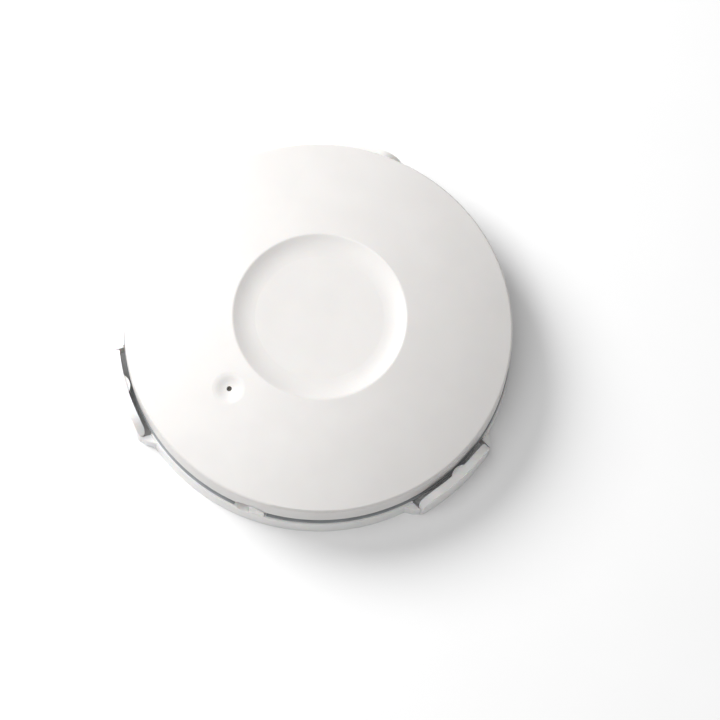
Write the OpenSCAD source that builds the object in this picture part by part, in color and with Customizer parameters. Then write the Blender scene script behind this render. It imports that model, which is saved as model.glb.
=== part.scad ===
// Surface-mounted battery heat detector: a shallow domed head held in a round
// ceiling bracket by three spring clips. Millimetres, +Z out of the dome,
// z = 0 on the back face of the bracket, origin on the centre line.

/* [Head] */
// Outer radius of the head at the bottom of its skirt
head_r = 43.15; // [43:0.05:43.4]
// Height of the dome's shoulder, where the skirt ends
shoulder_z = 13.4; // [13:0.1:13.8]
// Height of the dish's rim, the highest edge of the head
rim_z = 19.6; // [19.3:0.1:19.8]
// Height of the skirt's lower edge
skirt_z = 7.4; // [7.2:0.1:7.6]
// Wall thickness of the dome
shell_t = 1.6; // [1.4:0.1:1.6]
// Radius of the round on the shoulder
shoulder_round = 0.7; // [0.4:0.1:1.2]

/* [Dish] */
// Radius of the dish at its rim
dish_r = 19.2; // [18.6:0.1:19.6]
// Radius of the dish's flat floor
dish_floor_r = 14.2; // [13.5:0.1:15]
// Depth of the dish below its rim
dish_depth = 1.15; // [1:0.05:1.2]
// Radius of the round on the dish's rim
dish_round = 0.8; // [0.4:0.1:1.2]

/* [Dimple and pinhole] */
// Distance of the pinhole from the centre line
pinhole_r = 25.8; // [25:0.1:25.8]
// Direction of the pinhole around the centre line
pinhole_angle = 234.5; // [230:0.5:238]
// Diameter of the pinhole
pinhole_d = 1.15; // [0.8:0.05:1.3]
// Diameter of the dimple around the pinhole
dimple_d = 7.3; // [6:0.1:7.6]
// Steepest slope of the dimple's side
dimple_slope = 20; // [10:1:22]

/* [Seal band] */
// Outer radius of the grey seal band
seal_r = 42.6; // [42.2:0.1:42.7]
// Outer radius of the band's lip, which lies over the ring's top edge
seal_lip_r = 43.3; // [43:0.05:43.3]
// Height of the band's lower edge
seal_z = 5.2; // [5.15:0.05:5.6]

/* [Bracket] */
// Outer radius of the ring at the back face
ring_r = 43.8; // [43.7:0.1:44]
// Outer radius of the ring at its top edge
ring_top_r = 43.6; // [43.4:0.1:43.7]
// Height of the ring
ring_h = 5.1; // [4.9:0.05:5.1]
// Inner radius of the ring's wall
ring_inner_r = 41.5; // [41.5:0.1:41.8]
// Thickness of the flange that carries the screw slots
flange_t = 1.8; // [1.6:0.1:1.8]
// Radius of the opening in the middle of the flange
flange_opening_r = 26; // [25.8:0.1:26.4]
// Distance between the centres of the screw slots
slot_spacing = 66; // [65:0.5:67]
// Width of a screw slot
slot_w = 4.2; // [3.8:0.1:4.5]
// Length of a screw slot
slot_l = 10.2; // [9:0.1:10.4]

/* [Spring clips] */
// Outer radius of a clip
clip_outer_r = 46.1; // [46:0.1:46.4]
// Thickness of a clip at its middle
clip_t = 1.7; // [1.5:0.1:1.8]
// Height of a clip's top edge
clip_top_z = 8.5; // [8.2:0.1:9]
// Length of a clip, end to end
clip_l = 21; // [20:0.2:22]
// Radius of a clip's top corners
clip_corner = 5.5; // [4:0.5:6.5]
// Length of the nub on a clip's inner face
nub_l = 4.2; // [3:0.1:4.5]
// Height of the nub above the clip's inner face
nub_proud = 0.9; // [0.6:0.1:1]

/* [Pry notch] */
// Direction of the pry notch around the centre line
notch_angle = 264.6; // [262:0.2:267]
// Length of the notch along the ring
notch_w = 7.2; // [6.6:0.2:8]
// Height of the arch in the skirt above the notch
notch_arch = 1.6; // [1:0.1:1.8]

/* [Batteries] */
// Diameter of an AAA cell
cell_d = 10.5; // [10.3:0.1:10.5]
// Length of an AAA cell with its nub
cell_l = 44.5; // [44:0.1:44.5]
// Distance between the two cells' axes
cell_pitch = 10.9; // [10.7:0.1:11]
// Distance of the first cell's axis from the centre line
cell_y = 7; // [6.9:0.1:7.2]

/* [Circuit board] */
// Radius of the board's round edge
board_r = 34.5; // [33:0.1:35]
// Height of the board's lower face
board_z = 8.4; // [8.2:0.1:8.6]
// Thickness of the board
board_t = 1.6; // [1:0.1:1.6]

/* [Hidden] */
$fn = 96;
eps = 0.01;
plastic = "#f1eee9";
seal_grey = "#878c92";
steel = "#c9ccd0";
board_green = "#2f6b46";
black = "#2b2c2e";

// Dome: outer skin on one sphere through the shoulder and the rim
dome_rad = 124;
shoulder_r = head_r - 0.1;
dome_cz = shoulder_z - sqrt(dome_rad * dome_rad - shoulder_r * shoulder_r);
dish_floor_z = rim_z - dish_depth;
cove_rise = rim_z - dish_floor_z + 0.05;
cove_run = dish_r - dish_floor_r;
cove_rad = (cove_run * cove_run + cove_rise * cove_rise) / (2 * cove_rise);
dish_boss_r = dish_r + 2;
dish_under_z = dish_floor_z - shell_t;
skirt_inner_r = head_r - 1.75;
sector_r = 90;
seal_lip_t = 0.4;

// Back cover
cover_r = 41.2;
cover_z = 2;
cover_t = 1.6;
cover_top_z = cover_z + cover_t;
cover_wall_t = 1.6;
cover_wall_top_z = 9.8;
boss_r = 3;
boss_ring = 36;
boss_angles = [30, 150, 270];
boss_seat_z = 5.5;
screw_seat_z = 4.2;
screw_hole_r = 1.55;
screw_well_r = 2.7;
screw_pilot_r = 1.3;
screw_tip_z = 11;

// Battery bay
cell_z = 9.25;
bay_half_l = 24.2;
bay_wall_t = 1.2;
bay_y0 = cell_y - cell_pitch / 2 - 0.3;
bay_y1 = cell_y + 1.5 * cell_pitch + 0.3;
bay_wall_top_z = 12;
spine_w = 1.6;
spine_z0 = 12.7;
spine_z1 = 14.2;
plate_t = 0.4;
plate_w = 8;
cell_nub_l = 0.8;
cell_nub_r = 1.9;
spring_gap = 0.05;
door_gap = 0.2;
door_t = 1.5;
door_z = cover_z + 0.05;
hinge_pin_r = 0.5;
hinge_pin_l = 1;
hinge_clear = 0.05;
door_x = bay_half_l + 0.3;
door_y0 = bay_y0 - 0.3;
door_y1 = bay_y1;
hinge_y = door_y0 + door_t / 2;
hinge_z = door_z + door_t / 2;
foam_t = 0.35;
window_gap = 0.8;

// Board fixings and what stands on the board
board_top_z = board_z + board_t;
board_edge_y = -1;
board_posts = [[-27, -7], [27, -7], [2, -27]];
post_r = 2.5;
post_pilot_r = 1.05;
switch_x = (pinhole_r - 0.4) * cos(pinhole_angle);
switch_y = (pinhole_r - 0.4) * sin(pinhole_angle);
switch_body_h = 3.5;
switch_plunger_r = 1.7;
switch_plunger_top = 15.6;
switch_travel = 0.3;
tamper_x = 16;
tamper_y = -26;
tamper_r = 1.5;
tamper_sleeve_r = 2.8;
tamper_bottom_z = flange_t + 0.05;
tamper_switch_h = 3.2;
collector_r = 12;
collector_t = 0.5;
bead_r = 1.1;
bead_y = -2.6;
led_x = switch_x + 7;
led_y = switch_y + 4.5;
led_r = 1.5;

// Clips
clip_angles = [93, 212.5, 328];
nub_turns = [0, -1.5, 1];
clip_inner_y = clip_outer_r - clip_t;
clip_mid_r = clip_outer_r - clip_t / 2;
clip_end_r = clip_t / 2 - 0.05;
clip_foot_z = 0.3;
clip_half_l = clip_l / 2;
clip_end_gap = 0.12;
clip_bead_r = 0.3;
clip_bead_l = 6;
clip_bead_y = clip_outer_r - 0.45;
slot_wall_r = 42.4;
slot_half_l = clip_half_l + 0.3;
web_l = 2.2;
web_h = 4;
nub_top_z = clip_top_z - 0.5;
nub_h = 3;
nub_r = (nub_l * nub_l / 4 + nub_proud * nub_proud) / (2 * nub_proud);

// Notch and key
notch_span = 2 * asin(notch_w / 2 / ring_top_r);
tab_angle = notch_angle + notch_span / 4 - 0.3;
tab_span = notch_span / 2 - 0.2;
arch_rad = (notch_w * notch_w / 4 + notch_arch * notch_arch) / (2 * notch_arch);
arch_z = skirt_z + notch_arch - arch_rad;
tab_gap = 0.2;
bite_r = 2.2;
bite_depth = 0.9;
key_angle = 165;
key_clear = 0.3;

// ---------------------------------------------------------------- helpers

// Point where two circles meet, on the +Y side of the line between centres
function meet(c1, r1, c2, r2) =
    let (dx = c2[0] - c1[0], dy = c2[1] - c1[1])
    let (d = sqrt(dx * dx + dy * dy))
    let (a = (r1 * r1 - r2 * r2 + d * d) / (2 * d))
    let (h = sqrt(r1 * r1 - a * a))
    [c1[0] + a * dx / d - h * dy / d, c1[1] + a * dy / d + h * dx / d];

// Point at a distance from one point towards another
function towards(from, to, dist) =
    let (v = to - from)
    from + v * dist / norm(v);

// Distance along Y of the point at x on a circle about the origin
function ring_y(r, x) = sqrt(r * r - x * x);

// Height of the dome's outer skin at a radius
function dome_top(r) = dome_cz + sqrt(dome_rad * dome_rad - r * r);

module at_polar(r, angle, z = 0) {
    rotate([0, 0, angle]) translate([r, 0, z]) children();
}

// Pie slice about the centre line, centred on an angle
module sector(angle, span, z0, z1) {
    corner = sector_r / cos(span / 2);
    rotate([0, 0, angle]) translate([0, 0, z0]) linear_extrude(z1 - z0)
        polygon([[0, 0], [corner * cos(span / 2), -corner * sin(span / 2)],
                 [corner * cos(span / 2), corner * sin(span / 2)]]);
}

module tube(r_out, r_in, z0, z1) {
    difference() {
        translate([0, 0, z0]) cylinder(h = z1 - z0, r = r_out);
        translate([0, 0, z0 - 1]) cylinder(h = z1 - z0 + 2, r = r_in);
    }
}

module box(lo, hi) {
    translate(lo) cube(hi - lo);
}

// Closed skin over equal rings of points, the first ring facing back
module swept(pts, rings, sides) {
    skin = [for (i = [0 : rings - 1]) for (k = [0 : sides - 1])
        let (n = (k + 1) % sides)
        [i * sides + k, i * sides + n, (i + 1) * sides + n, (i + 1) * sides + k]];
    first_cap = [for (k = [sides - 1 : -1 : 0]) k];
    last_cap = [for (k = [0 : sides - 1]) rings * sides + k];
    polyhedron(pts, concat([first_cap], skin, [last_cap]));
}

// Helical wire along +Z, swept with a small polygon section
module coil(coil_r, wire_r, height, turns, steps = 14, sides = 6) {
    rings = turns * steps;
    swept([for (i = [0 : rings]) for (k = [0 : sides - 1])
        let (a = 360 * i / steps, b = 360 * k / sides, r = coil_r + wire_r * cos(b))
        [r * cos(a), r * sin(a), wire_r + (height - 2 * wire_r) * i / rings + wire_r * sin(b)]],
        rings, sides);
}

// Wire through a list of points, swept with a small polygon section
module wire(points, wire_r, sides = 10) {
    last = len(points) - 1;
    swept([for (i = [0 : last]) for (k = [0 : sides - 1])
        let (along = points[min(i + 1, last)] - points[max(i - 1, 0)], a = 360 * k / sides)
        let (side = cross(along, [0, 0, 1]))
        let (up = cross(side, along))
        points[i] + wire_r * (side * cos(a) / norm(side) + up * sin(a) / norm(up))],
        last, sides);
}

// Pan-head screw pointing up, its head below z = 0, with a cross recess
module screw(head_r, head_h, shank_r, shank_l) {
    recess_w = head_r * 0.3;
    recess_l = head_r * 1.1;
    difference() {
        union() {
            translate([0, 0, -head_h]) cylinder(h = head_h, r = head_r, $fn = 48);
            translate([0, 0, -eps]) cylinder(h = shank_l - shank_r, r = shank_r, $fn = 48);
            translate([0, 0, shank_l - shank_r - 2 * eps])
                cylinder(h = shank_r, r1 = shank_r, r2 = 0.3, $fn = 48);
        }
        for (turn = [0, 90]) rotate([0, 0, turn])
            translate([-recess_l / 2, -recess_w / 2, -head_h - 1])
                cube([recess_l, recess_w, 1 + head_h * 0.6]);
    }
}

// ---------------------------------------------------------------- bracket

module ring_wall() {
    difference() {
        cylinder(h = ring_h, r1 = ring_r, r2 = ring_top_r);
        translate([0, 0, flange_t]) cylinder(h = ring_h, r = ring_inner_r);
    }
}

module screw_slot(x) {
    half = (slot_l - slot_w) / 2;
    translate([x, 0, -1]) linear_extrude(flange_t + 2) {
        square([2 * half, slot_w], center = true);
        for (side = [-1, 1]) translate([side * half, 0]) circle(d = slot_w);
    }
}

// Way through the ring's wall behind one clip
module clip_slot(angle) {
    rotate([0, 0, angle - 90]) intersection() {
        tube(ring_r + 2, slot_wall_r, -1, ring_h + 1);
        box([-slot_half_l, 0, -2], [slot_half_l, sector_r, ring_h + 2]);
    }
}

// Low webs that lead from the ring to both ends of one clip
module clip_webs(angle) {
    x0 = clip_half_l + clip_end_gap;
    xm = x0 + web_l / 2;
    x1 = x0 + web_l;
    rotate([0, 0, angle - 90]) for (side = [0, 1]) mirror([side, 0, 0])
        linear_extrude(web_h) polygon([
            [x0, ring_y(ring_r - 1.2, x0)],
            [x0, ring_y(clip_outer_r - 0.4, x0)],
            [xm, ring_y(clip_outer_r - 1, xm)],
            [x1, ring_y(ring_r - 0.1, x1)],
            [x1, ring_y(ring_r - 1.2, x1)]]);
}

// Round-topped block across the skirt, whose flat side view is the notch's arch
module notch_arch_block(drop) {
    at_polar(head_r, notch_angle, arch_z - drop) rotate([0, 90, 0])
        cylinder(h = 7, r = arch_rad, center = true, $fn = 180);
}

// Tab on the ring that fills half of the arch, hollowed on its outer face
module pry_tab() {
    difference() {
        intersection() {
            tube(ring_top_r - 0.1, cover_r + 0.35, ring_h - 0.5, skirt_z + notch_arch);
            sector(tab_angle, tab_span, 0, 10);
            notch_arch_block(tab_gap);
        }
        at_polar(ring_top_r + 1.9, tab_angle - tab_span / 4, skirt_z) sphere(r = 2.5, $fn = 64);
    }
}

// Fingernail bite in the ring's top edge beside the tab
module notch_bite() {
    at_polar(ring_top_r, notch_angle - notch_span / 4 + 0.6, ring_h + bite_r - bite_depth)
        rotate([0, 90, 0]) cylinder(h = 3.4, r = bite_r, center = true, $fn = 64);
}

module mounting_bracket() {
    color(plastic) {
        difference() {
            union() {
                difference() {
                    ring_wall();
                    for (a = clip_angles) clip_slot(a);
                }
                for (a = clip_angles) clip_webs(a);
            }
            translate([0, 0, -1]) cylinder(h = flange_t + 2, r = flange_opening_r);
            box([-door_x - window_gap, door_y0 - window_gap, -1],
                [door_x + window_gap, door_y1 + window_gap + 1, flange_t + 1]);
            for (x = [-1, 1]) screw_slot(x * slot_spacing / 2);
            notch_bite();
        }
        pry_tab();
        intersection() {
            tube(ring_inner_r + 0.5, ring_inner_r - 0.9, 0.5, ring_h);
            sector(key_angle, 3, 0, 10);
        }
    }
}

// ---------------------------------------------------------------- clips

// Upright wall of a clip seen from outside, with rounded top corners
module clip_front() {
    flat_half = clip_half_l - clip_corner;
    top = clip_top_z - clip_corner;
    translate([-clip_half_l, clip_foot_z]) square([2 * clip_half_l, top - clip_foot_z]);
    translate([-flat_half, clip_foot_z]) square([2 * flat_half, clip_top_z - clip_foot_z]);
    for (side = [-1, 1]) translate([side * flat_half, top]) circle(r = clip_corner);
}

// Plan of a clip on the +Y side: an arc about the centre line with round ends
module clip_plan() {
    turn = asin((clip_half_l - clip_end_r) / clip_mid_r);
    reach = [sector_r * sin(turn), sector_r * cos(turn)];
    intersection() {
        difference() {
            circle(r = clip_outer_r, $fn = 360);
            circle(r = clip_inner_y, $fn = 360);
        }
        polygon([[0, 0], reach, [-reach[0], reach[1]]]);
    }
    for (side = [-1, 1]) rotate(side * turn) translate([0, clip_mid_r])
        circle(r = clip_end_r, $fn = 48);
}

// Clip drawn on the +Y side, then turned to its place
module retaining_clip(i) {
    color(plastic) rotate([0, 0, clip_angles[i] - 90]) {
        intersection() {
            linear_extrude(clip_top_z + 1) clip_plan();
            translate([0, sector_r, 0]) rotate([90, 0, 0]) linear_extrude(sector_r) clip_front();
        }
        rotate([0, 0, nub_turns[i]]) intersection() {
            translate([0, clip_inner_y - nub_proud + nub_r, nub_top_z - nub_h])
                cylinder(h = nub_h, r = nub_r, $fn = 64);
            box([-nub_l / 2, 0, 0], [nub_l / 2, clip_inner_y + 0.5, 20]);
        }
        translate([-clip_bead_l / 2, clip_bead_y, clip_foot_z])
            rotate([0, 90, 0]) cylinder(h = clip_bead_l, r = clip_bead_r, $fn = 48);
    }
}

module retaining_clip_1() {
    retaining_clip(0);
}

module retaining_clip_2() {
    retaining_clip(1);
}

module retaining_clip_3() {
    retaining_clip(2);
}

// ---------------------------------------------------------------- shell

// Half section of the dome's outer form, to the right of the centre line
module shell_outline() {
    dome_c = [0, dome_cz];
    round_x = shoulder_r - shoulder_round;
    round_c = [round_x, dome_cz + sqrt(pow(dome_rad - shoulder_round, 2) - round_x * round_x)];
    difference() {
        intersection() {
            polygon([[0, skirt_z], [head_r, skirt_z], [shoulder_r, shoulder_z - 1],
                     [shoulder_r, rim_z + 5], [0, rim_z + 5]]);
            translate(dome_c) circle(r = dome_rad, $fn = 720);
        }
        difference() {
            polygon([round_c, [shoulder_r, round_c[1]], [shoulder_r + 1, round_c[1] + 1],
                     [shoulder_r, rim_z], towards(dome_c, round_c, dome_rad + 1),
                     towards(dome_c, round_c, dome_rad)]);
            translate(round_c) circle(r = shoulder_round);
        }
        dish_section();
    }
}

// Half section of what the dish takes away
module dish_section() {
    dome_c = [0, dome_cz];
    cove_c = [dish_floor_r, dish_floor_z + cove_rad];
    edge_c = meet(cove_c, cove_rad + dish_round, dome_c, dome_rad - dish_round);
    on_dome = towards(dome_c, edge_c, dome_rad);
    on_cove = towards(cove_c, edge_c, cove_rad);
    translate([0, dish_floor_z]) square([dish_floor_r, 6]);
    intersection() {
        translate(cove_c) circle(r = cove_rad, $fn = 180);
        translate([dish_floor_r - eps, dish_floor_z]) square([dish_r - dish_floor_r + 0.5, 6]);
    }
    difference() {
        polygon([edge_c, on_cove, on_cove + [-0.4, 1], on_dome + [0, 1], on_dome]);
        translate(edge_c) circle(r = dish_round);
    }
}

// Soft dimple, cut from the dome along its own normal
module dimple_cut() {
    half = dimple_d / 2;
    inner = half * 0.6;
    r_in = inner / sin(dimple_slope);
    r_out = (half - inner) / sin(dimple_slope);
    depth = (r_in + r_out) * (1 - cos(dimple_slope));
    sink = dome_rad - sqrt(dome_rad * dome_rad - half * half);
    translate([0, 0, -sink]) rotate_extrude() {
        intersection() {
            translate([0, -depth + r_in]) circle(r = r_in);
            translate([0, -depth - 1]) square([inner, depth + 3]);
        }
        difference() {
            translate([inner - eps, -depth]) square([half - inner + eps, depth + 1]);
            translate([half, -r_out]) circle(r = r_out);
        }
    }
}

module on_dome_at(r, angle) {
    at_polar(r, angle, dome_top(r)) rotate([0, asin(r / dome_rad), 0]) children();
}

module top_shell() {
    color(plastic) difference() {
        union() {
            difference() {
                rotate_extrude($fn = 180) shell_outline();
                difference() {
                    intersection() {
                        translate([0, 0, skirt_z - 1]) cylinder(h = 30, r = skirt_inner_r);
                        translate([0, 0, dome_cz]) sphere(r = dome_rad - shell_t, $fn = 360);
                    }
                    translate([0, 0, dish_under_z]) cylinder(h = 10, r = dish_boss_r);
                }
            }
            for (a = boss_angles) intersection() {
                at_polar(boss_ring, a, boss_seat_z) cylinder(h = 10, r = boss_r);
                translate([0, 0, dome_cz]) sphere(r = dome_rad - shell_t / 2, $fn = 360);
            }
        }
        for (a = boss_angles) at_polar(boss_ring, a, boss_seat_z - 1)
            cylinder(h = screw_tip_z - boss_seat_z + 1.3, r = screw_pilot_r, $fn = 48);
        notch_arch_block(0);
        on_dome_at(pinhole_r, pinhole_angle) {
            dimple_cut();
            translate([0, 0, -4]) cylinder(h = 8, d = pinhole_d, $fn = 48);
        }
    }
}

// ---------------------------------------------------------------- seal

module seal_band() {
    color(seal_grey) difference() {
        union() {
            tube(seal_r, cover_r, seal_z, skirt_z);
            tube(seal_lip_r, cover_r, seal_z, seal_z + seal_lip_t);
        }
        sector(notch_angle, notch_span + 0.6, 0, 10);
    }
}

// ---------------------------------------------------------------- back cover

module bay_walls() {
    difference() {
        box([-bay_half_l - bay_wall_t, bay_y0 - bay_wall_t, cover_z],
            [bay_half_l + bay_wall_t, bay_y1 + bay_wall_t, bay_wall_top_z]);
        box([-bay_half_l, bay_y0, 0], [bay_half_l, bay_y1, 20]);
    }
    spine_y = cell_y + cell_pitch / 2;
    box([-bay_half_l - bay_wall_t, spine_y - spine_w / 2, spine_z0],
        [bay_half_l + bay_wall_t, spine_y + spine_w / 2, spine_z1]);
    for (side = [-1, 1]) translate([side * (bay_half_l + bay_wall_t / 2), spine_y, 0])
        translate([-bay_wall_t / 2, -spine_w / 2, cover_top_z])
            cube([bay_wall_t, spine_w, spine_z1 - cover_top_z]);
}

module back_cover() {
    color(plastic) difference() {
        union() {
            translate([0, 0, cover_z]) cylinder(h = cover_t, r = cover_r);
            tube(cover_r, cover_r - cover_wall_t, cover_z, cover_wall_top_z);
            for (a = boss_angles) at_polar(boss_ring, a, cover_z)
                cylinder(h = boss_seat_z - cover_z, r = boss_r + 0.8);
            for (p = board_posts) translate([p[0], p[1], cover_z])
                cylinder(h = board_z - cover_z, r = post_r);
            translate([tamper_x, tamper_y, cover_z]) cylinder(h = 2.6, r = tamper_sleeve_r);
            bay_walls();
        }
        for (a = boss_angles) at_polar(boss_ring, a, 0) {
            cylinder(h = 10, r = screw_hole_r, $fn = 48);
            cylinder(h = screw_seat_z, r = screw_well_r);
        }
        for (p = board_posts) translate([p[0], p[1], cover_top_z])
            cylinder(h = 10, r = post_pilot_r, $fn = 48);
        translate([tamper_x, tamper_y, 0]) cylinder(h = 10, r = tamper_r + 0.08, $fn = 48);
        box([-door_x - door_gap, door_y0 - door_gap, 0],
            [door_x + door_gap, door_y1 + door_gap, cover_top_z + eps]);
        translate([0, hinge_y, hinge_z]) rotate([0, 90, 0])
            cylinder(h = 2 * (door_x + hinge_pin_l + 0.1), r = hinge_pin_r + hinge_clear,
                     center = true);
        box([-15.3, -20.3, 0], [15.3, -7.7, cover_z + 0.2]);
        intersection() {
            tube(cover_r + 1, ring_inner_r - 0.9 - key_clear, 0, ring_h + key_clear);
            sector(key_angle, 4.2, 0, 10);
        }
    }
}

module cover_screws() {
    color(steel) for (a = boss_angles) at_polar(boss_ring, a, screw_seat_z)
        screw(2.4, 1.6, screw_pilot_r - 0.05, screw_tip_z - screw_seat_z);
}

module rating_label() {
    color("#dfe0de") box([-15.1, -20.1, cover_z + 0.05], [15.1, -7.9, cover_z + 0.2]);
}

// ---------------------------------------------------------------- batteries

module battery_door() {
    grip_y = door_y1 - 3.2;
    color(plastic) difference() {
        union() {
            box([-door_x, hinge_y, door_z], [door_x, door_y1, door_z + door_t]);
            translate([0, hinge_y, hinge_z]) rotate([0, 90, 0]) {
                cylinder(h = 2 * door_x, r = door_t / 2, center = true);
                cylinder(h = 2 * (door_x + hinge_pin_l), r = hinge_pin_r, center = true);
            }
        }
        for (i = [-1 : 1]) translate([0, grip_y + i * 1.6, door_z - 0.15])
            rotate([0, 90, 0]) cylinder(h = 14, r = 0.45, center = true, $fn = 24);
    }
}

module door_foam() {
    color("#4b4d50") box([-16, door_y0 + 3, door_z + door_t],
                         [16, door_y1 - 3, door_z + door_t + foam_t]);
}

// AAA cell along X, its nub towards the side given by dir
module battery_cell(y, dir) {
    nub_end = dir * (bay_half_l - plate_t);
    translate([nub_end, y, cell_z]) rotate([0, -90 * dir, 0]) {
        translate([0, 0, cell_nub_l]) cylinder(h = cell_l - cell_nub_l, d = cell_d);
        cylinder(h = cell_nub_l + eps, r = cell_nub_r, $fn = 48);
    }
}

module battery_cell_1() {
    color("#3d4f63") battery_cell(cell_y, -1);
}

module battery_cell_2() {
    color("#3d4f63") battery_cell(cell_y + cell_pitch, 1);
}

module contact_springs() {
    spring_h = 2 * (bay_half_l - plate_t) - cell_l - spring_gap;
    color(steel) for (i = [0, 1]) {
        dir = i == 0 ? 1 : -1;
        translate([dir * (bay_half_l - plate_t), cell_y + i * cell_pitch, cell_z])
            rotate([0, -90 * dir, 0]) coil(2.6, 0.3, spring_h, 4);
    }
}

module contact_plates() {
    color(steel) for (i = [0, 1]) for (dir = [-1, 1]) {
        y = cell_y + i * cell_pitch;
        x = dir * (bay_half_l - plate_t / 2);
        box([x - plate_t / 2, y - plate_w / 2, cell_z - 4], [x + plate_t / 2, y + plate_w / 2, 13]);
    }
}

module battery_leads() {
    lead_r = 0.45;
    pad_z = board_top_z + lead_r;
    for (side = [1, -1]) color(side > 0 ? "#a8322a" : black)
        wire([[side * (bay_half_l - 0.5), 2.6, 13.4], [side * (bay_half_l - 1.5), 0.4, 13.6],
              [side * 21, -1.6, 13], [side * 19, -3.6, pad_z]], lead_r);
}

// ---------------------------------------------------------------- board

module circuit_board() {
    color(board_green) difference() {
        intersection() {
            translate([0, 0, board_z]) cylinder(h = board_t, r = board_r);
            box([-50, -50, 0], [50, board_edge_y, 20]);
        }
        at_polar(boss_ring, boss_angles[2], 0) cylinder(h = 20, r = boss_r + 1.2);
        for (p = board_posts) translate([p[0], p[1], 0]) cylinder(h = 20, r = 1.2, $fn = 48);
    }
}

module board_screws() {
    color(steel) for (p = board_posts) translate([p[0], p[1], board_top_z]) mirror([0, 0, 1])
        screw(1.9, 1.3, post_pilot_r - 0.05, 5.5);
}

module chip(x, y, w, d, h) {
    translate([x - w / 2, y - d / 2, board_top_z]) cube([w, d, h]);
}

module board_components() {
    color(black) {
        chip(-4, -9, 7, 7, 1);
        chip(-14, -8, 5, 4, 1.4);
        chip(8, -21, 3.2, 2.5, 0.9);
        for (i = [0 : 3]) chip(-18.5 + i * 3.2, -13.4, 1.6, 0.8, 0.6);
        for (i = [0 : 3]) chip(1.5, -15 - i * 1.9, 0.8, 1.6, 0.6);
        translate([-21, -7, board_top_z]) cylinder(h = 3.6, r = 2.5);
    }
}

module radio_module() {
    color("#214f8a") chip(14, -11, 16, 12, 0.8);
}

module radio_shield() {
    color(steel) translate([7, -16, board_top_z + 0.8]) cube([11, 10, 1.8]);
}

module spring_antenna() {
    color("#b98a4a") translate([24.5, -9.5, board_top_z + 1.75]) rotate([90, 0, 0])
        coil(1.4, 0.25, 10, 9);
}

module sounder() {
    color(black) difference() {
        translate([-25.5, -15.6, board_top_z]) cylinder(h = 3.4, r = 4);
        translate([-25.5, -15.6, board_top_z + 1.6]) cylinder(h = 5, r = 0.9, $fn = 48);
    }
}

module status_led() {
    color("#e8e4d8") translate([led_x, led_y, board_top_z]) {
        cylinder(h = 0.8, r = led_r + 0.3, $fn = 48);
        cylinder(h = 2.2, r = led_r, $fn = 48);
        translate([0, 0, 2.2]) sphere(r = led_r, $fn = 48);
    }
}

module heat_collector() {
    color("#b9bcbf") translate([0, 0, dish_under_z - collector_t])
        cylinder(h = collector_t, r = collector_r);
}

module thermistor() {
    bead_z = dish_under_z - collector_t - bead_r;
    color(black) {
        translate([0, bead_y, bead_z]) sphere(r = bead_r, $fn = 48);
        for (side = [-1, 1]) translate([side * 0.6, bead_y, board_top_z])
            cylinder(h = bead_z - board_top_z, r = 0.22, $fn = 24);
    }
}

// ---------------------------------------------------------------- switches

module test_switch() {
    color(steel) difference() {
        translate([switch_x - 3, switch_y - 3, board_top_z]) cube([6, 6, switch_body_h]);
        translate([switch_x, switch_y, board_top_z + 1])
            cylinder(h = 10, r = switch_plunger_r + 0.06, $fn = 64);
    }
}

module test_button() {
    bottom = board_top_z + 1 + switch_travel + 0.1;
    color("#d7d3c8") translate([switch_x, switch_y, bottom])
        cylinder(h = switch_plunger_top - bottom, r = switch_plunger_r, $fn = 64);
}

module tamper_switch() {
    color(black) translate([tamper_x - 3, tamper_y - 3, board_z - tamper_switch_h])
        cube([6, 6, tamper_switch_h]);
}

module tamper_plunger() {
    color("#d7d3c8") translate([tamper_x, tamper_y, tamper_bottom_z])
        cylinder(h = board_z - tamper_switch_h - 0.1 - tamper_bottom_z, r = tamper_r, $fn = 64);
}

mounting_bracket();
retaining_clip_1();
retaining_clip_2();
retaining_clip_3();
top_shell();
seal_band();
back_cover();
cover_screws();
battery_door();
door_foam();
rating_label();
battery_cell_1();
battery_cell_2();
contact_springs();
contact_plates();
battery_leads();
circuit_board();
board_screws();
board_components();
radio_module();
radio_shield();
spring_antenna();
sounder();
status_led();
heat_collector();
thermistor();
test_switch();
test_button();
tamper_switch();
tamper_plunger();
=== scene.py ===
import math

import bpy
from mathutils import Matrix, Vector


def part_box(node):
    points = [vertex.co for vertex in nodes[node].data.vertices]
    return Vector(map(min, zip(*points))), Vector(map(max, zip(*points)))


# ------------------------------------------------------------------ frame

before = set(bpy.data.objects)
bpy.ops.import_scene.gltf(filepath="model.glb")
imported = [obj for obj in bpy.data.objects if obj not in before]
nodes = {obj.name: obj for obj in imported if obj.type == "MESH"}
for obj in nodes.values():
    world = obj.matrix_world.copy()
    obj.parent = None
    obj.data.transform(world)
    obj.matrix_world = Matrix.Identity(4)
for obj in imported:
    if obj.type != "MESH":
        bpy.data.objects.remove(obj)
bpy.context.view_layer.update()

MM = 0.001
CAMERA_AZIMUTH = 9.5       # degrees from -Y, towards +X
CAMERA_ELEVATION = 71.9    # degrees above the floor
CAMERA_ROLL = -5.6         # degrees about the line of sight
CAMERA_DISTANCE = 700 * MM
CAMERA_LENS = 155.1        # mm, on a 36 mm sensor
CAMERA_SHIFT = (0.0596, -0.0232)

# Each light: degrees from the camera's azimuth, degrees above the floor,
# distance and diameter in metres, power in watts
KEY_LIGHT = (-120, 37, 0.9, 0.55, 8.3)
OVERHEAD_LIGHT = (-50, 72, 1.1, 0.9, 4.8)
SKY_STRENGTH = 0.25
FLOOR_HALF = 3.0           # metres

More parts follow.
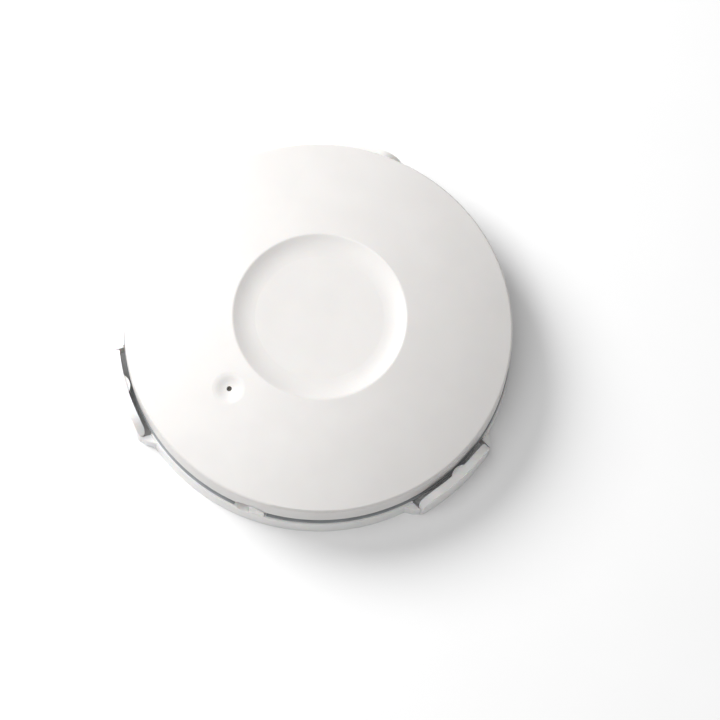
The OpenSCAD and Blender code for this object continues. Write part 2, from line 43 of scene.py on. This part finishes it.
# Base colours, linear
SHELL_WHITE = (0.757, 0.738, 0.722)
BRACKET_WHITE = (0.86, 0.85, 0.84)
COVER_WHITE = (0.74, 0.725, 0.705)
SEAL_GREY = (0.34, 0.355, 0.37)
BUTTON_CREAM = (0.60, 0.57, 0.50)
LABEL_WHITE = (0.70, 0.70, 0.69)
PRINT_GREY = (0.12, 0.125, 0.13)
LENS_WHITE = (0.80, 0.78, 0.70)
LEAD_RED = (0.42, 0.028, 0.02)
JACKET_BLUE = (0.018, 0.045, 0.085)
JACKET_TAN = (0.46, 0.24, 0.09)
LAMINATE = (0.42, 0.36, 0.20)
VIA_TIN = (0.52, 0.48, 0.36)
FLOOR_WHITE = (0.93, 0.93, 0.93)
STEEL = (0.60, 0.60, 0.59)
NICKEL = (0.66, 0.64, 0.60)
TIN = (0.70, 0.70, 0.69)
ALUMINIUM = (0.76, 0.77, 0.78)
COPPER = (0.80, 0.42, 0.22)
BLACK = (0.022, 0.022, 0.024)


# --------------------------------------------------------------- shading

class Shader:
    """A node material that is built up by short calls."""

    def __init__(self, name):
        self.material = bpy.data.materials.new(name)
        self.material.use_nodes = True
        self.tree = self.material.node_tree
        self.tree.nodes.clear()
        self.output = self.tree.nodes.new("ShaderNodeOutputMaterial")
        self.surface = self.tree.nodes.new("ShaderNodeBsdfPrincipled")
        self.link(self.surface.outputs["BSDF"], self.output.inputs["Surface"])
        self.position = self.tree.nodes.new("ShaderNodeTexCoord").outputs["Object"]

    def link(self, source, target):
        self.tree.links.new(source, target)

    def set(self, **sockets):
        """Constants on the surface's own sockets, such as Coat_Weight=0.2."""
        for name, value in sockets.items():
            self.surface.inputs[name.replace("_", " ")].default_value = value

    def mapped(self, stretch):
        if stretch == (1, 1, 1):
            return self.position
        mapping = self.tree.nodes.new("ShaderNodeMapping")
        mapping.inputs["Scale"].default_value = stretch
        self.link(self.position, mapping.inputs["Vector"])
        return mapping.outputs["Vector"]

    def noise(self, size_mm, detail=3.0, rough=0.5, stretch=(1, 1, 1)):
        """Noise of about this feature size."""
        noise = self.tree.nodes.new("ShaderNodeTexNoise")
        noise.inputs["Scale"].default_value = 1 / (size_mm * MM)
        noise.inputs["Detail"].default_value = detail
        noise.inputs["Roughness"].default_value = rough
        self.link(self.mapped(stretch), noise.inputs["Vector"])
        return noise.outputs["Fac"]

    def cells(self, size_mm, feature="F1", stretch=(1, 1, 1)):
        """Distances in a Voronoi pattern of about this cell size."""
        cells = self.tree.nodes.new("ShaderNodeTexVoronoi")
        cells.feature = feature
        cells.inputs["Scale"].default_value = 1 / (size_mm * MM)
        self.link(self.mapped(stretch), cells.inputs["Vector"])
        return cells.outputs["Distance"]

    def axis(self, letter):
        """One coordinate of the point, in metres."""
        split = self.tree.nodes.new("ShaderNodeSeparateXYZ")
        self.link(self.position, split.inputs["Vector"])
        return split.outputs[letter]

    def facing_up(self):
        """The Z part of the surface's normal."""
        split = self.tree.nodes.new("ShaderNodeSeparateXYZ")
        geometry = self.tree.nodes.new("ShaderNodeNewGeometry")
        self.link(geometry.outputs["True Normal"], split.inputs["Vector"])
        return split.outputs["Z"]

    def math(self, operation, first, second=0.0):
        node = self.tree.nodes.new("ShaderNodeMath")
        node.operation = operation
        for socket, value in zip(node.inputs, (first, second)):
            if isinstance(value, (int, float)):
                socket.default_value = value
            else:
                self.link(value, socket)
        return node.outputs["Value"]

    def ramp(self, source, low, high, start=0.35, end=0.65):
        """Maps start to end onto low to high, clamped."""
        ramp = self.tree.nodes.new("ShaderNodeMapRange")
        ramp.inputs["From Min"].default_value = start
        ramp.inputs["From Max"].default_value = end
        ramp.inputs["To Min"].default_value = low
        ramp.inputs["To Max"].default_value = high
        self.link(source, ramp.inputs["Value"])
        return ramp.outputs["Result"]

    def mix(self, factor, first, second):
        """Mixes two colours, each a tuple or another node's output."""
        mix = self.tree.nodes.new("ShaderNodeMix")
        mix.data_type = "RGBA"
        self.link(factor, mix.inputs["Factor"])
        for name, value in (("A", first), ("B", second)):
            if isinstance(value, tuple):
                mix.inputs[name].default_value = (*value, 1)
            else:
                self.link(value, mix.inputs[name])
        return mix.outputs["Result"]

    def colour(self, source):
        self.link(source, self.surface.inputs["Base Color"])

    def vary(self, colour, amount, size_mm):
        """The colour, a little darker and paler in soft patches."""
        darker = tuple(c * (1 - amount) for c in colour)
        paler = tuple(min(c * (1 + amount), 1.0) for c in colour)
        return self.mix(self.ramp(self.noise(size_mm, 2), 0, 1), darker, paler)

    def roughness(self, middle, spread, size_mm, stretch=(1, 1, 1)):
        source = self.noise(size_mm, 3, 0.5, stretch)
        self.link(self.ramp(source, middle - spread, middle + spread),
                  self.surface.inputs["Roughness"])

    def bump(self, height, depth_mm):
        bump = self.tree.nodes.new("ShaderNodeBump")
        bump.inputs["Distance"].default_value = depth_mm * MM
        self.link(height, bump.inputs["Height"])
        self.link(bump.outputs["Normal"], self.surface.inputs["Normal"])


# ------------------------------------------------------------- materials

def moulded_plastic(name, colour, rough, grain_mm, grain_depth_mm, glow=0.0):
    """Satin moulding; glow lets a little light through thin walls."""
    shader = Shader(name)
    shader.set(IOR=1.53)
    if glow:
        shader.set(Subsurface_Weight=glow, Subsurface_Radius=(1.0, 0.55, 0.3),
                   Subsurface_Scale=1.6 * MM)
    shader.colour(shader.vary(colour, 0.012, 9))
    shader.roughness(rough, 0.035, 3)
    shader.bump(shader.noise(grain_mm, 2), grain_depth_mm)
    return shader.material


def rubber(name, colour, grain_mm, grain_depth_mm):
    shader = Shader(name)
    shader.set(IOR=1.45, Sheen_Weight=0.15, Sheen_Roughness=0.5)
    shader.colour(shader.vary(colour, 0.08, 4))
    shader.roughness(0.72, 0.06, 2)
    shader.bump(shader.noise(grain_mm, 3), grain_depth_mm)
    return shader.material


def foam(name):
    shader = Shader(name)
    shader.set(IOR=1.4)
    pores = shader.cells(0.45)
    # Painted shade: the colour darkens towards each pore's centre, where the bump sinks deepest.
    shader.colour(shader.mix(shader.ramp(pores, 0, 1, 0.1, 0.6), (0.012, 0.012, 0.013),
                             (0.075, 0.077, 0.082)))
    shader.roughness(0.88, 0.05, 1.5)
    shader.bump(pores, 0.12)
    return shader.material


def metal(name, colour, rough, stretch=(1, 1, 1), size_mm=1.2, depth_mm=0.004):
    """Bare or plated metal, brushed along the axis whose stretch is small."""
    shader = Shader(name)
    shader.set(Metallic=1.0)
    shader.colour(shader.vary(colour, 0.05, 2.5))
    shader.roughness(rough, 0.09, size_mm, stretch)
    shader.bump(shader.noise(size_mm * 0.3, 3, 0.6, stretch), depth_mm)
    return shader.material


def solder_mask(name, mask, track):
    """Lacquered board: tracks and vias under the lacquer, bare laminate at its edges."""
    shader = Shader(name)
    shader.set(IOR=1.5, Coat_Weight=0.35, Coat_Roughness=0.15)
    tracks = shader.math("LESS_THAN", shader.cells(2.6, "DISTANCE_TO_EDGE", (1, 1, 0.001)), 0.09)
    vias = shader.math("LESS_THAN", shader.cells(3.7, "F1", (1, 1, 0.001)), 0.10)
    face = shader.mix(tracks, mask, track)
    face = shader.mix(vias, face, VIA_TIN)
    flat = shader.math("GREATER_THAN", shader.math("ABSOLUTE", shader.facing_up()), 0.5)
    shader.colour(shader.mix(flat, LAMINATE, face))
    shader.roughness(0.34, 0.05, 1.5)
    shader.bump(tracks, 0.012)
    return shader.material


def cell_jacket(name, node, nub_side):
    """Sleeve in two plain colours, with bare steel at both ends."""
    low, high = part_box(node)
    shader = Shader(name)
    shader.set(IOR=1.5, Coat_Weight=0.5, Coat_Roughness=0.12)
    along = shader.axis("X")
    middle = (low.x + high.x) / 2
    half = (high.x - low.x) / 2
    from_middle = shader.math("ABSOLUTE", shader.math("SUBTRACT", along, middle))
    bare = shader.math("GREATER_THAN", from_middle, half - 1.1 * MM)
    cuff_edge = middle + nub_side * half * 0.52
    side = "GREATER_THAN" if nub_side > 0 else "LESS_THAN"
    cuff = shader.math(side, along, cuff_edge)
    sleeve = shader.mix(cuff, JACKET_BLUE, JACKET_TAN)
    shader.colour(shader.mix(bare, sleeve, STEEL))
    shader.link(bare, shader.surface.inputs["Metallic"])
    shader.roughness(0.28, 0.05, 2)
    shader.bump(shader.noise(1.5, 3, 0.6, (0.2, 1, 1)), 0.01)
    return shader.material


def lead_insulation(name):
    """Red lead on the +X side, black lead on the other."""
    shader = Shader(name)
    shader.set(IOR=1.5)
    positive = shader.math("GREATER_THAN", shader.axis("X"), 0.0)
    red = shader.vary(LEAD_RED, 0.06, 2)
    shader.colour(shader.mix(positive, BLACK, red))
    shader.roughness(0.42, 0.05, 1)
    shader.bump(shader.noise(0.3, 2), 0.006)
    return shader.material


def blank_label(name, node):
    """White film with a thin printed frame, two rules and an empty panel."""
    low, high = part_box(node)
    shader = Shader(name)
    shader.set(IOR=1.5, Coat_Weight=0.3, Coat_Roughness=0.25)
    half = (high - low) / 2
    middle = (high + low) / 2
    x = shader.math("ABSOLUTE", shader.math("SUBTRACT", shader.axis("X"), middle.x))
    y_from = shader.math("SUBTRACT", shader.axis("Y"), middle.y)
    y = shader.math("ABSOLUTE", y_from)
    inset = shader.math("MINIMUM", shader.math("SUBTRACT", half.x, x),
                        shader.math("SUBTRACT", half.y, y))
    frame_line = shader.math("LESS_THAN",
                             shader.math("ABSOLUTE", shader.math("SUBTRACT", inset, 0.9 * MM)),
                             0.11 * MM)
    rule = shader.math("LESS_THAN",
                       shader.math("ABSOLUTE", shader.math("SUBTRACT", y, 1.6 * MM)), 0.08 * MM)
    inside = shader.math("GREATER_THAN", inset, 0.9 * MM)
    lines = shader.math("MAXIMUM", frame_line, shader.math("MULTIPLY", rule, inside))
    film = shader.vary(LABEL_WHITE, 0.015, 5)
    shader.colour(shader.mix(lines, film, PRINT_GREY))
    shader.roughness(0.38, 0.04, 2)
    shader.bump(shader.noise(0.8, 2), 0.004)
    return shader.material


def lens(name):
    shader = Shader(name)
    shader.set(IOR=1.5, Transmission_Weight=0.35)
    shader.colour(shader.vary(LENS_WHITE, 0.02, 1))
    shader.roughness(0.22, 0.03, 0.6)
    shader.bump(shader.noise(0.2, 2), 0.003)
    return shader.material


def epoxy_parts(name, node, metal_below_mm=0.0):
    """Dark moulded parts; what lies lower than the given height over the base is tinned."""
    base_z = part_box(node)[0].z
    shader = Shader(name)
    shader.set(IOR=1.5)
    body = shader.vary(BLACK, 0.12, 1.2)
    tinned = shader.math("LESS_THAN", shader.axis("Z"), base_z + metal_below_mm * MM)
    shader.colour(shader.mix(tinned, body, TIN))
    shader.link(tinned, shader.surface.inputs["Metallic"])
    shader.roughness(0.5, 0.08, 0.8)
    shader.bump(shader.noise(0.12, 3), 0.008)
    return shader.material


def dress(names, material):
    for name in names:
        mesh = nodes[name].data
        mesh.materials.clear()
        mesh.materials.append(material)


def dress_all():
    dress(["top_shell"], moulded_plastic("shell_plastic", SHELL_WHITE, 0.44, 0.14, 0.004, 0.12))
    dress(["mounting_bracket"],
          moulded_plastic("bracket_plastic", BRACKET_WHITE, 0.46, 0.14, 0.004, 0.3))
    dress(["retaining_clip_1", "retaining_clip_2", "retaining_clip_3"],
          moulded_plastic("clip_plastic", BRACKET_WHITE, 0.44, 0.14, 0.004, 0.3))
    dress(["back_cover", "battery_door"],
          moulded_plastic("cover_plastic", COVER_WHITE, 0.58, 0.30, 0.014, 0.05))
    dress(["seal_band"], rubber("seal_rubber", SEAL_GREY, 0.1, 0.004))
    dress(["door_foam"], foam("foam"))
    dress(["cover_screws", "board_screws"], metal("zinc_steel", STEEL, 0.34))
    dress(["contact_springs", "contact_plates"], metal("nickel_steel", NICKEL, 0.28))
    dress(["radio_shield", "test_switch"], metal("shield_tin", TIN, 0.36, (0.2, 1, 1), 0.8))
    dress(["heat_collector"], metal("collector_aluminium", ALUMINIUM, 0.38, (0.05, 1, 1), 0.5))
    dress(["spring_antenna"], metal("copper_wire", COPPER, 0.3))
    dress(["circuit_board"],
          solder_mask("board_laminate", (0.012, 0.085, 0.035), (0.025, 0.14, 0.055)))
    dress(["radio_module"],
          solder_mask("module_laminate", (0.012, 0.035, 0.13), (0.025, 0.06, 0.2)))
    dress(["battery_cell_1"], cell_jacket("cell_jacket_1", "battery_cell_1", -1))
    dress(["battery_cell_2"], cell_jacket("cell_jacket_2", "battery_cell_2", 1))
    dress(["battery_leads"], lead_insulation("lead_insulation"))
    dress(["rating_label"], blank_label("label", "rating_label"))
    dress(["status_led"], lens("led_lens"))
    dress(["board_components"], epoxy_parts("component_epoxy", "board_components", 0.2))
    dress(["thermistor"], epoxy_parts("bead_epoxy", "thermistor", 4.0))
    dress(["sounder"], epoxy_parts("sounder_case", "sounder"))
    dress(["tamper_switch"], epoxy_parts("switch_case", "tamper_switch"))
    dress(["test_button", "tamper_plunger"],
          moulded_plastic("button_plastic", BUTTON_CREAM, 0.36, 0.1, 0.003))


# ----------------------------------------------------------------- stage

def add_floor():
    corners = [(x * FLOOR_HALF, y * FLOOR_HALF, 0) for x, y in ((-1, -1), (1, -1), (1, 1), (-1, 1))]
    mesh = bpy.data.meshes.new("floor")
    mesh.from_pydata(corners, [], [(0, 1, 2, 3)])
    floor = bpy.data.objects.new("floor", mesh)
    bpy.context.scene.collection.objects.link(floor)
    shader = Shader("floor_paper")
    shader.colour(shader.vary(FLOOR_WHITE, 0.004, 30))
    shader.roughness(0.95, 0.02, 20)
    floor.data.materials.append(shader.material)


def direction(azimuth, elevation):
    """Unit vector towards a place seen from the origin."""
    a = math.radians(azimuth)
    e = math.radians(elevation)
    return Vector((math.sin(a) * math.cos(e), -math.cos(a) * math.cos(e), math.sin(e)))


def add_light(name, turn, elevation, distance, size, power):
    """A round soft light that looks at the origin."""
    light = bpy.data.lights.new(name, "AREA")
    light.shape = "DISK"
    light.size = size
    light.energy = power
    lamp = bpy.data.objects.new(name, light)
    lamp.location = direction(CAMERA_AZIMUTH + turn, elevation) * distance
    lamp.rotation_euler = lamp.location.to_track_quat("Z", "Y").to_euler()
    bpy.context.scene.collection.objects.link(lamp)


def add_world():
    world = bpy.data.worlds.new("studio")
    world.use_nodes = True
    background = world.node_tree.nodes["Background"]
    background.inputs["Color"].default_value = (1, 1, 1, 1)
    background.inputs["Strength"].default_value = SKY_STRENGTH
    bpy.context.scene.world = world


def add_camera():
    camera = bpy.data.cameras.new("camera")
    camera.lens = CAMERA_LENS
    camera.sensor_width = 36
    camera.shift_x, camera.shift_y = CAMERA_SHIFT
    camera.clip_start = 0.01
    eye = bpy.data.objects.new("camera", camera)
    towards_eye = direction(CAMERA_AZIMUTH, CAMERA_ELEVATION)
    turn = towards_eye.to_track_quat("Z", "Y").to_matrix()
    turn = turn @ Matrix.Rotation(math.radians(-CAMERA_ROLL), 3, "Z")
    eye.matrix_world = Matrix.Translation(towards_eye * CAMERA_DISTANCE) @ turn.to_4x4()
    bpy.context.scene.collection.objects.link(eye)
    bpy.context.scene.camera = eye


dress_all()
add_camera()
add_floor()
add_world()
add_light("key", *KEY_LIGHT)
add_light("overhead", *OVERHEAD_LIGHT)

bpy.context.scene.view_settings.view_transform = "Standard"
